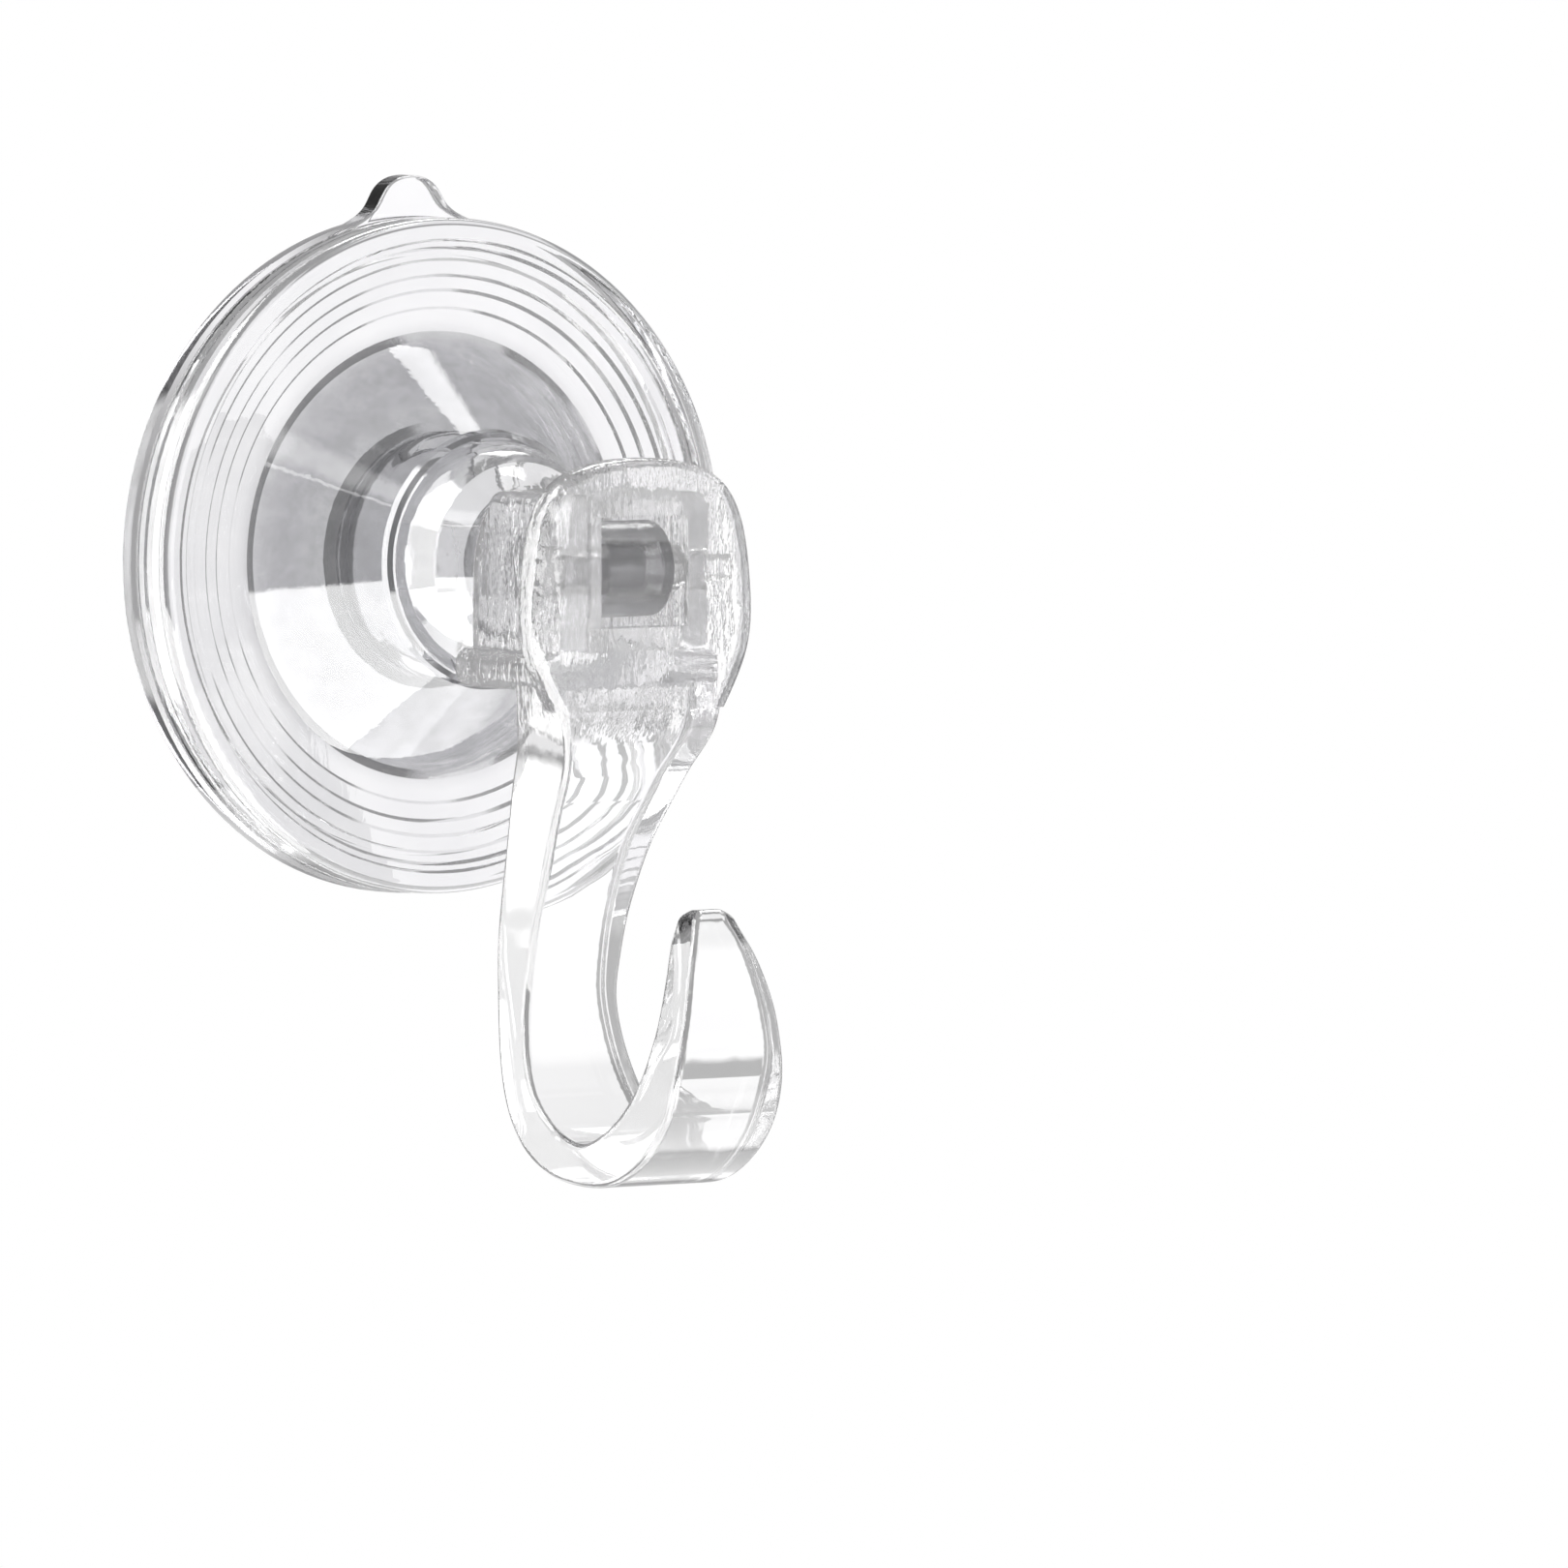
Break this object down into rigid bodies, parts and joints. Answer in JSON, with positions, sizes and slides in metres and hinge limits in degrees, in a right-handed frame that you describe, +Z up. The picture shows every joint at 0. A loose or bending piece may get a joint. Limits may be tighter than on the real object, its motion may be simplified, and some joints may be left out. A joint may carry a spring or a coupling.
{
  "type": "suction cup hook",
  "caption": "Clear plastic suction cup hook: soft cup with a pull tab, domed hard cover, and a hinged lever hook that locks the cup against a smooth wall.",
  "frame": {"origin": "centre of the ring of the soft cup that seals on the wall", "axes": "+Z up along the wall, -Y out of the wall towards the hook, +Y into the wall, X across; the part is at rest with the lever down"},
  "size_m": [0.0712, 0.0603, 0.1034],
  "materials": {
    "clear_soft": "clear soft vinyl, glossy, slightly milky",
    "clear_hard": "clear hard plastic, glossy, moulded"
  },
  "bodies": {
    "base": {"suction_cup": "clear_soft", "dome_cover": "clear_hard"},
    "stem": {"stem_core": "clear_hard"},
    "lever": {"hook_lever": "clear_hard", "pivot_pin": "clear_hard"}
  },
  "joints": [
    {"name": "stem_slide", "type": "slide", "parent": "base", "child": "stem", "axis": [0, 1, 0], "range_m": [0, 0.002], "deforming": ["suction_cup"]},
    {"name": "lever_hinge", "type": "hinge", "parent": "stem", "child": "lever", "pos_m": [0, -0.039, 0], "axis": [-1, 0, 0], "range_deg": [0, 75]}
  ],
  "couplings": [
    {"joint": "stem_slide", "follows": "lever_hinge", "m_per_rad": 0.001527}
  ]
}
